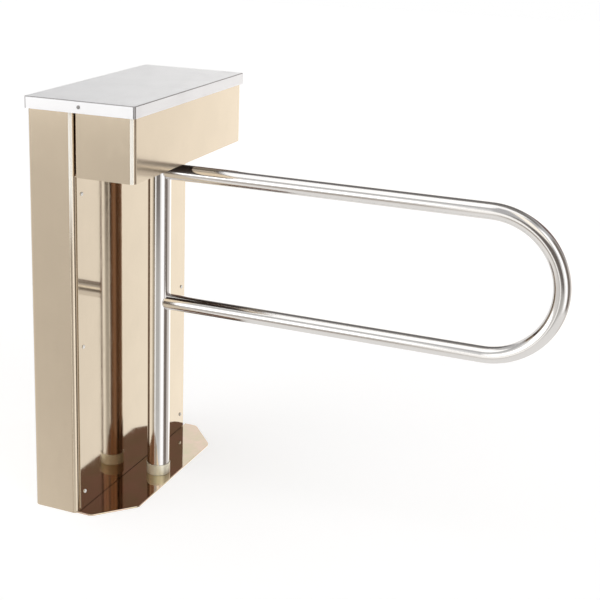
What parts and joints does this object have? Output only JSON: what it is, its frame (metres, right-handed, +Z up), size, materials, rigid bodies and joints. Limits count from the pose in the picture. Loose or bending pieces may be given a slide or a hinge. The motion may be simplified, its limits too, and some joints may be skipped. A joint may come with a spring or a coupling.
{
  "type": "swing turnstile",
  "caption": "Single-arm swing turnstile that counts visitors: narrow steel cabinet with a cantilevered head, mirror access panel, floor plate, and a turning post with a hairpin arm.",
  "frame": {"origin": "on the floor, where the gate's turning axis meets the underside of the floor plate", "axes": "+Z up the gate's turning axis, +X the way the closed arm points across the passage, Y along the cabinet's long side; the arm opens towards +Y"},
  "size_m": [1.196, 0.5904, 1.012],
  "materials": {
    "champagne_steel": "champagne-tinted polished stainless sheet",
    "mirror_panel": "champagne mirror polish",
    "mirror_plate": "champagne mirror polish",
    "lid_steel": "fine satin stainless",
    "satin_tube": "satin ground stainless tube",
    "screw_steel": "stainless",
    "brass_collar": "turned and polished",
    "dark_underside": "dark brown satin paint",
    "inner_steel": "zinc plated",
    "spring_steel": "drawn wire",
    "bronze_bush": "machined",
    "buffer_rubber": "matt",
    "black_plastic": "moulded",
    "nylon": "moulded",
    "circuit_board": "solder resist"
  },
  "bodies": {
    "cabinet": {"column_shell": "champagne_steel", "head_shell": "champagne_steel", "access_panel": "mirror_panel", "floor_plate": "mirror_plate", "lid": "lid_steel", "panel_screw_1": "screw_steel", "panel_screw_2": "screw_steel", "panel_screw_3": "screw_steel", "panel_screw_4": "screw_steel", "panel_screw_5": "screw_steel", "panel_screw_6": "screw_steel", "floor_collar": "brass_collar", "head_bottom_cover": "dark_underside", "frame_upright_front": "inner_steel", "frame_upright_rear": "inner_steel", "frame_crossbar": "inner_steel", "mechanism_plate": "inner_steel", "head_rib_front": "inner_steel", "head_rib_rear": "inner_steel", "bearing_housing": "inner_steel", "floor_pin": "inner_steel", "buffer_bracket_closed": "inner_steel", "buffer_bracket_open": "inner_steel", "sensor_bracket": "inner_steel", "lid_lock_keeper": "inner_steel", "board_carrier": "inner_steel", "spring_anchor": "inner_steel", "upper_bearing": "inner_steel", "power_supply": "inner_steel", "bearing_bolt_1": "inner_steel", "bearing_bolt_2": "inner_steel", "bearing_bolt_3": "inner_steel", "bearing_bolt_4": "inner_steel", "anchor_bolt_1": "inner_steel", "anchor_bolt_2": "inner_steel", "anchor_bolt_3": "inner_steel", "anchor_bolt_4": "inner_steel", "return_spring": "spring_steel", "stop_buffer_closed": "buffer_rubber", "stop_buffer_open": "buffer_rubber", "damper_body": "black_plastic", "counting_sensor": "black_plastic", "lock_solenoid": "black_plastic", "cable_gland": "black_plastic", "terminal_block": "nylon", "control_board": "circuit_board"},
    "gate": {"post_tube": "satin_tube", "arm_tube": "satin_tube", "post_foot_plug": "inner_steel", "post_foot_bush": "bronze_bush", "post_head_plug": "inner_steel", "spindle": "inner_steel", "spindle_nut": "inner_steel", "stop_lever": "inner_steel", "gear_sector": "bronze_bush", "flag_disc": "inner_steel", "lock_disc": "inner_steel"},
    "damper_gear": {"damper_pinion": "nylon"},
    "night_bolt": {"lock_bolt": "inner_steel"},
    "lid_quarter_turn": {"lid_lock": "screw_steel"}
  },
  "joints": [
    {"name": "gate_swing", "type": "hinge", "parent": "cabinet", "child": "gate", "pos_m": [0, 0, 0], "axis": [0, 0, 1], "range_deg": [0, 90], "stiffness_Nm_per_rad": 2.5},
    {"name": "damper_pinion_turn", "type": "hinge", "parent": "cabinet", "child": "damper_gear", "pos_m": [0.0338, -0.05854, 0.902], "axis": [0, 0, 1], "range_deg": [-360, 0]},
    {"name": "lock_bolt_slide", "type": "slide", "parent": "cabinet", "child": "night_bolt", "axis": [0, -1, 0], "range_m": [0, 0.008], "stiffness_N_per_m": 300},
    {"name": "lid_lock_turn", "type": "hinge", "parent": "cabinet", "child": "lid_quarter_turn", "pos_m": [-0.05175, -0.291, 0.998], "axis": [0, 1, 0], "range_deg": [0, 90]}
  ],
  "couplings": [
    {"joint": "damper_pinion_turn", "follows": "gate_swing", "ratio": -4}
  ]
}
